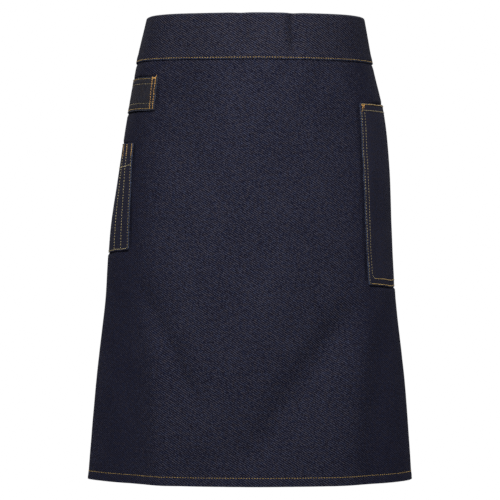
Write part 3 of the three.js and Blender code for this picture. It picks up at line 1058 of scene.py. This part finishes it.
def patch_thread():
    sew = partial(row, patch_face, pitch=POCKET_STITCH)
    near, far = PATCH["lines"]
    width = PATCH["width"]
    foot = PATCH["height"] - FOOT_ROW
    inner_foot = PATCH["height"] - INNER_FOOT_ROW
    bold = [
        sew([(near, 1.4), (width - near, 1.4)], radius=0.5, gap=0.05),
        sew([(near + 4, foot), (width - near, foot)], radius=0.44, gap=0.08),
        sew([(far + 4, inner_foot), (width - far, inner_foot)], radius=0.4, gap=0.08),
    ]
    fine = [
        sew([(near, 9.4), (width - near, 9.4)], radius=0.42, gap=0.12),
        sew([(near, 12), *turn_path(near, foot, 3)]),
        sew([(far, 11.5), *turn_path(far, inner_foot, PATCH_ROUND)]),
        sew([(width - near, 2), (width - near, foot)]),
        sew([(width - far, 2), (width - far, inner_foot)]),
    ]
    return [thread_object("patch_thread", fine, TAN), thread_object("patch_bold_thread", bold, GOLD)]


def pen_thread():
    sew = partial(row, pen_face, pitch=POCKET_STITCH)
    width, hem = PEN["width"], PEN["mouth_hem"]
    foot = PEN["height"] - FOOT_ROW
    first, *dividers = PEN["lines"]
    front = [sew([(first, PEN_TACK), *turn_path(first, foot, 2)])]
    rest = [
        sew([(first + 2, foot), (width - 3, foot), (width - 3, 2)]),
        sew([(1, hem), (14, hem + 1.6), (32, hem + 2.6), (width - 1, hem + 2.6)], gap=0.2),
    ]
    rest += [sew([(line, PEN_TACK), (line, foot)]) for line in dividers]
    tacks = []
    for line in PEN["lines"]:
        for u in (line - 0.35, line + 0.35):
            tacks.append(row(pen_face, [(u, 1.0), (u, PEN_TACK)], 2.2, gap=0.05))
    return [
        thread_object("pen_thread", rest, PALE_GOLD),
        thread_object("pen_front_thread", front, TAN),
        thread_object("pen_tack_thread", tacks, AMBER),
    ]


# The towel loop


# u is the distance from the front end and v the distance below the top edge.
def loop_face(u, v):
    free = LOOP_LENGTH - 2 * LOOP_SEAM
    share = np.clip((u - LOOP_SEAM) / free, 0, 1)
    lift = SEAM_GAP + LOOP_FULLNESS * np.sin(np.pi * share)
    edge = np.minimum(v, LOOP_HEIGHT - v)
    end = np.minimum(u, LOOP_LENGTH - u)
    swell = 0.18 * bell(edge - 5, 3)
    for line, depth in zip(LOOP_EDGE_LINES, (0.25, 0.2)):
        swell = swell - depth * bell(edge - line, 0.9)
    for line in LOOP_END_LINES:
        swell = swell - 0.25 * bell(end - line, 1.0)
    ripples = 0.12 * ripple(u + v, 15, 51)
    across = -(LOOP_ACROSS + LOOP_LEAN * (v / LOOP_HEIGHT) + u + 0.3 * ripple(v, 30, 52))
    drop = LOOP_DROP + v + 0.3 * ripple(u, 55, 53)
    return across, drop, lift + LOOP_THICKNESS + swell + ripples


def towel_loop():
    u = cloth_steps(LOOP_LENGTH, LOOP_STEP, both_ends(LOOP_LENGTH, LOOP_END_LINES))
    v = cloth_steps(LOOP_HEIGHT, LOOP_STEP, both_ends(LOOP_HEIGHT, LOOP_EDGE_LINES))
    piece = sheet(
        "towel_loop_cloth", DENIM_LOOP, u, v, loop_face, lambda u, v: LOOP_THICKNESS + 0 * u,
        lambda u, v, edge: 0.6 * bell(edge, EDGE_WEAR_AND_HIGHLIGHT),
    )
    return finish_piece(piece, "denim_loop", "towel_loop")


def loop_thread():
    def sew(v, gap, radius):
        return row(loop_face, [(2, v), (LOOP_LENGTH - 2, v)], gap=gap, radius=radius)

    outer = [sew(v, 0.25, 0.33) for v in (2, LOOP_HEIGHT - 2.6)]
    inner = [sew(v, 0.35, 0.28) for v in (8.7, LOOP_HEIGHT - 9.2)]
    return [
        thread_object("loop_thread", outer, GOLD),
        thread_object("loop_inner_thread", inner, TAN),
    ]


# The loop's surface, and above its top edge the panel's.
def over_loop(u, v):
    across, drop, out = loop_face(u, v)
    return across, drop, mix(panel_out(across, drop), out, smooth((v + 0.8) / 1.4))


# What is sewn most densely, in brighter thread: the loop's two rows at each end, which begin in
# a bar with two spikes, and a cross at the patch pocket's corners.
def bar_tacks():
    rings = []
    foot = LOOP_HEIGHT - 1.5
    for near, far in ((3.0, 8.2), (LOOP_LENGTH - 3.0, LOOP_LENGTH - 8.2)):
        lean = 0.8 * np.sign(far - near)
        rings += bar(over_loop, (near, 2.0), (far, 2.0), 1.5)
        for u, top in ((near, -1.4), (far, -0.4)):
            rings.append(row(over_loop, [(u, top), (u, 11)], 3.1, radius=0.48, gap=0.02))
            rings.append(row(over_loop, [(u, 11), (u - 0.6 * lean, 31)], STITCH, gap=0.25))
            end = (u - lean, foot)
            rings.append(row(over_loop, [(u - 0.6 * lean, 31), end], 2.8, radius=0.42, gap=0.05))
    width = PATCH["width"]
    for left, right in (((3.0, 2.2), (7.6, 6.4)), ((7.8, 2.0), (3.2, 6.6))):
        rings += bar(patch_face, left, mix(np.array(left), np.array(right), 0.5), 1.3)
        rings.append(row(patch_face, [left, right], 3.1, radius=0.4, gap=0.05))
        mirrored = [(width - u, v) for u, v in (left, right)]
        rings += bar(patch_face, *mirrored, 1.3)
    for line in (1.9, width - 1.9):
        rings.append(row(patch_face, [(line + 3, 6.4), (line, 12)], 2.8, radius=0.32))
    return thread_object("bar_tacks", rings, ORANGE)


# The ties


# u goes from 0, inside the band, to 1 at the knot, and v from -0.5 to 0.5 over the width.
def tie_face(side, u, v):
    start = PANEL_WIDTH / 2 - TIE_INSERT
    gathered = smooth((u - 0.45) / 0.55)
    drop = BAND_MIDDLE + v * TIE_WIDTH * mix(1, TIE_PINCH, gathered)
    end = across_at_back(drop) - KNOT_WIDTH / 2 + 3
    pleats = 0.8 * gathered * np.cos(2 * np.pi * 2.5 * v) * np.clip((u - 0.4) * 3, 0, 1)
    middle = mix(SLOT_MIDDLE, KNOT_OUT, gathered) + pleats
    return side * mix(start, end, u), drop, middle + TIE_THICKNESS / 2


# A flat strip over steps of u. to_end is how far each u is from an open end, thick how thick
# the cloth is there, and flat(across, u, v) gives the place on the flat cloth.
def strip(name, face, u, flat, to_end=np.inf, thick=TIE_THICKNESS):
    v = cloth_steps(TIE_WIDTH, 1.4, (2,)) / TIE_WIDTH - 0.5
    faces = shell_faces(len(u), len(v))
    u, v = np.meshgrid(u, v, indexing="ij")
    across, drop, outside = face(u, v)
    edge = np.minimum((0.5 - np.abs(v)) * TIE_WIDTH, to_end)
    half = thick / 2 * rounding(edge)
    middle = outside - TIE_THICKNESS / 2
    points = [on_cloth(across, drop, middle + sign * half) for sign in (1, -1)]
    place = np.stack(flat(across, u, v), -1)
    marks = {"wear_and_highlight": [0.5 * bell(edge, EDGE_WEAR_AND_HIGHLIGHT)] * 2}
    return mesh_object(name, points, faces, DENIM_TIE, [place, place], marks)


def tie(side, name, node):
    def flat(across, u, v):
        return across + ACROSS_REACH, v * TIE_WIDTH + LENGTH

    piece = strip(name, partial(tie_face, side), np.linspace(0, 1, 40), flat)
    return finish_piece(piece, "denim_tie", node)


# u goes from 0, in the knot, to 1 at the foot, and v from -0.5 to 0.5 over the width.
def tail_face(side, u, v):
    drop = BAND_MIDDLE + KNOT_HEIGHT / 4 + TAIL_LENGTH * u
    spread = smooth(4 * u)
    centre = side * mix(KNOT_WIDTH / 8, TAIL_SPREAD, smooth(u))
    sway = 1.2 * np.sin(2 * np.pi * (1.3 * u + 0.1 * side)) * smooth(3 * u)
    from_back = centre + v * TIE_WIDTH * mix(TIE_PINCH, 1, spread) + sway
    curl = 1.4 * spread * (0.25 - v**2) * np.sin(2 * np.pi * (1.6 * u + 0.3 * side))
    pleats = 0.6 * (1 - spread) * np.cos(2 * np.pi * 2.5 * v)
    wave = 0.5 * np.sin(2 * np.pi * (2.2 * u + 0.2 * side)) * smooth(5 * u)
    over = (1 + side) / 2 * (TIE_THICKNESS + SEAM_GAP)
    middle = mix(KNOT_OUT, 1.3, spread) + over + curl + pleats + wave
    return across_at_back(drop) + from_back, drop, middle + TIE_THICKNESS / 2


def tail(side, name):
    u = cloth_steps(TAIL_LENGTH, 3.0, (TAIL_LENGTH - TAIL_STITCH,)) / TAIL_LENGTH
    in_hem = smooth((u * TAIL_LENGTH - (TAIL_LENGTH - TAIL_HEM)) / HEM_STEP)
    thick = TIE_THICKNESS * (1 + 0.5 * in_hem)
    to_end = (1 - u) * TAIL_LENGTH

    def flat(across, u, v):
        return v * TIE_WIDTH + ACROSS_REACH, -u * TAIL_LENGTH + LENGTH

    face = partial(tail_face, side)
    return finish_piece(strip(name, face, u, flat, to_end[:, None], thick[:, None]), "denim_tie")


# The faces of a tie and of its hanging end, with u and v in millimetres.
def on_tie(side, u, v):
    return tie_face(side, u / TIE_LENGTH, v / TIE_WIDTH)


def on_tail(side, u, v):
    return tail_face(side, u / TAIL_LENGTH, v / TIE_WIDTH)


def tie_thread():
    rows = []
    edge = TIE_ROW * TIE_WIDTH
    foot = TAIL_LENGTH - TAIL_STITCH
    for side in (-1, 1):
        sew_tie = partial(row, partial(on_tie, side))
        sew_tail = partial(row, partial(on_tail, side))
        for v in (-edge, edge):
            rows.append(sew_tie([(26, v), (60, v)]))
            rows.append(sew_tail([(14, v), (TAIL_LENGTH - 3, v)]))
        rows.append(sew_tail([(foot, -edge), (foot, edge)]))
    return thread_object("tie_thread", rows, GOLD)


# A closed tube of rings of points, for the knot.
def tube_object(name, rings, *nodes):
    count, sides = rings.shape[:2]
    turn = np.linspace(0, 60, sides)
    along = np.linspace(0, 30, count)
    flat = np.stack(np.meshgrid(along, turn, indexing="ij"), -1) + 100
    piece = mesh_object(name, rings, closed_tube_faces(count, sides), DENIM_TIE, flat)
    return finish_piece(piece, "denim_tie", *nodes)


# The knot: gathered cloth that runs through it from side to side, and a turn of cloth round it.
def knot():
    drop = BAND_MIDDLE
    middle = on_cloth(across_at_back(drop), drop, KNOT_OUT)
    half = KNOT_WIDTH / 2
    along = np.linspace(-1, 1, 41)[:, None]
    turn = np.linspace(0, 2 * np.pi, 72, endpoint=False)[None]
    swell = np.sqrt(np.clip(1 - 0.72 * along**2, 0, 1))
    creases = 1 + 0.07 * np.cos(7 * turn + 2.5 * along) + 0.04 * np.cos(11 * turn - 4 * along)
    rings = np.stack(
        np.broadcast_arrays(
            middle[0] + half * along,
            middle[1] + KNOT_DEPTH / 2 * 0.86 * swell * creases * np.cos(turn),
            middle[2] + KNOT_HEIGHT / 2 * 0.86 * swell * creases * np.sin(turn),
        ),
        -1,
    )
    core = tube_object("knot_core", rings, "tie_knot")

    # The turn's section is a flat strip with pleats, wound once round the core.
    around = np.linspace(0, 2 * np.pi, 97)[:, None]
    section = np.linspace(0, 2 * np.pi, 44, endpoint=False)[None]
    width = KNOT_WIDTH * (0.27 + 0.05 * np.cos(around))
    flat_x = np.sign(np.cos(section)) * np.abs(np.cos(section)) ** 0.6 * width
    pleats = 0.35 * np.cos(2 * np.pi * flat_x / width * 1.5 + 1.5 * around)
    rise = 0.75 * np.sin(section) + pleats
    rise = rise + 0.6 * (1 - (flat_x / width) ** 2)
    tilt = 2.2 * np.sin(around)
    wound = np.stack(
        np.broadcast_arrays(
            middle[0] + flat_x + tilt,
            middle[1] + (KNOT_DEPTH / 2 * 0.9 + rise) * np.cos(around),
            middle[2] + (KNOT_HEIGHT / 2 * 0.9 + rise) * np.sin(around),
        ),
        -1,
    )
    wrap = tube_object("knot_wrap", wound[:-1])
    return core, wrap


# Floor and light
FLOOR_DROP = 1020
FLOOR_RADIUS = 3.0  # metres


def make_floor():
    mesh = bpy.data.meshes.new("floor")
    turn = np.linspace(0, 2 * np.pi, 96, endpoint=False)
    drop = -FLOOR_DROP / 1000
    ring = [(FLOOR_RADIUS * math.cos(a), FLOOR_RADIUS * math.sin(a), drop) for a in turn]
    mesh.from_pydata(ring, [], [list(range(len(ring)))])
    material, n = new_material("floor")
    place = n.add("TexCoord").outputs["Object"]
    tone = n.noise(place, 3, 3.0)
    surface = n.add(
        "BsdfPrincipled",
        {
            "Base Color": n.ramp(tone, [(0.3, (0.80, 0.80, 0.80)), (0.7, (0.84, 0.84, 0.84))]),
            "Roughness": 0.9,
            "Specular IOR Level": 0.1,
        },
    )
    # Towards its rim the floor fades into the white behind it.
    flat = n.add("VectorMath", {0: place, 1: (1, 1, 0)}, operation="MULTIPLY").outputs[0]
    away = n.add("VectorMath", {0: flat}, operation="LENGTH").outputs["Value"]
    faded = n.add("MapRange", {"Value": away, "From Min": 0.5, "From Max": 2.4},
                  interpolation_type="SMOOTHSTEP").outputs[0]
    faded = n.scale_add(faded, 0.6, 0.4)
    seen = n.times(faded, n.add("LightPath").outputs["Is Camera Ray"])
    white = n.add("Emission", {"Color": (1, 1, 1, 1), "Strength": 1.0}).outputs[0]
    both = n.add("MixShader", {0: seen, 1: surface.outputs[0], 2: white})
    n.add("OutputMaterial", {0: both.outputs[0]})
    mesh.materials.append(material)
    floor = bpy.data.objects.new("floor", mesh)
    bpy.context.scene.collection.objects.link(floor)


# What the world gives: pure white behind the object, and soft light that is strongest from the
# front and above and weakest from both sides.
def make_world():
    world = bpy.data.worlds.new("studio")
    bpy.context.scene.world = world
    world.use_nodes = True
    n = Nodes(world.node_tree)
    direction = n.add("TexCoord").outputs["Generated"]
    towards = n.add("VectorMath", {0: direction, 1: (0.0, -0.72, 0.69)}, operation="DOT_PRODUCT")
    strength = n.scale_add(towards.outputs["Value"], 0.25, 0.19)
    strength = n.math("MAXIMUM", strength, 0.03)
    axes = n.add("SeparateXYZ", {0: direction})
    beside = n.times(axes.outputs[0], axes.outputs[0])
    strength = n.times(strength, n.scale_add(beside, -0.6, 1.0))
    soft = n.add("Background", {"Color": (1, 1, 1, 1), "Strength": strength})
    white = n.add("Background", {"Color": (1, 1, 1, 1), "Strength": 1.0})
    seen = n.add("LightPath").outputs["Is Camera Ray"]
    both = n.add("MixShader", {0: seen, 1: soft.outputs[0], 2: white.outputs[0]})
    n.add("OutputWorld", {0: both.outputs[0]})


def make_light(name, kind, place, target, power, **settings):
    data = bpy.data.lights.new(name, kind)
    data.energy = power
    for setting, value in settings.items():
        setattr(data, setting, value)
    light = bpy.data.objects.new(name, data)
    light.location = place
    light.rotation_euler = (Vector(target) - Vector(place)).to_track_quat("-Z", "Y").to_euler()
    bpy.context.scene.collection.objects.link(light)


def make_studio():
    make_floor()
    make_world()
    make_light("key", "AREA", (-0.1, -1.35, 1.1), (0, 0, -0.05), 13.1, size=0.8)
    make_light("front_spot", "SPOT", (-0.16, -1.55, 1.15), (-0.01, -0.1, -0.16), 79,
               spot_size=math.radians(33), spot_blend=1.0, shadow_soft_size=0.2)
    make_light("back_left", "AREA", (-1.5, 1.9, 0.8), (0, 0, -0.2), 25, size=1.2)
    make_light("back_right", "AREA", (1.5, 1.9, 0.8), (0, 0, -0.2), 26, size=1.2)
    scene = bpy.context.scene
    scene.view_settings.view_transform = "Standard"
    scene.view_settings.look = "None"
    # Denoising would wipe out the weave, whose lines are as fine as a pixel.
    scene.cycles.use_denoising = False


def build():
    panel = skirt_panel()
    band = waistband()
    patch = pocket_cloth("patch_pocket", PATCH)
    pen = pocket_cloth("pen_pocket", PEN)
    loop = towel_loop()
    tie_left = tie(-1, "tie_left_cloth", "tie_left")
    tie_right = tie(1, "tie_right_cloth", "tie_right")
    tails = [tail(-1, "tail_right"), tail(1, "tail_left")]
    core, wrap = knot()
    panel_sewing = skirt_thread()
    band_sewing = waistband_thread()
    patch_sewing = patch_thread()
    pen_sewing = pen_thread()
    loop_sewing = loop_thread()
    ties_sewing = tie_thread()
    tacks = bar_tacks()


build()
make_studio()
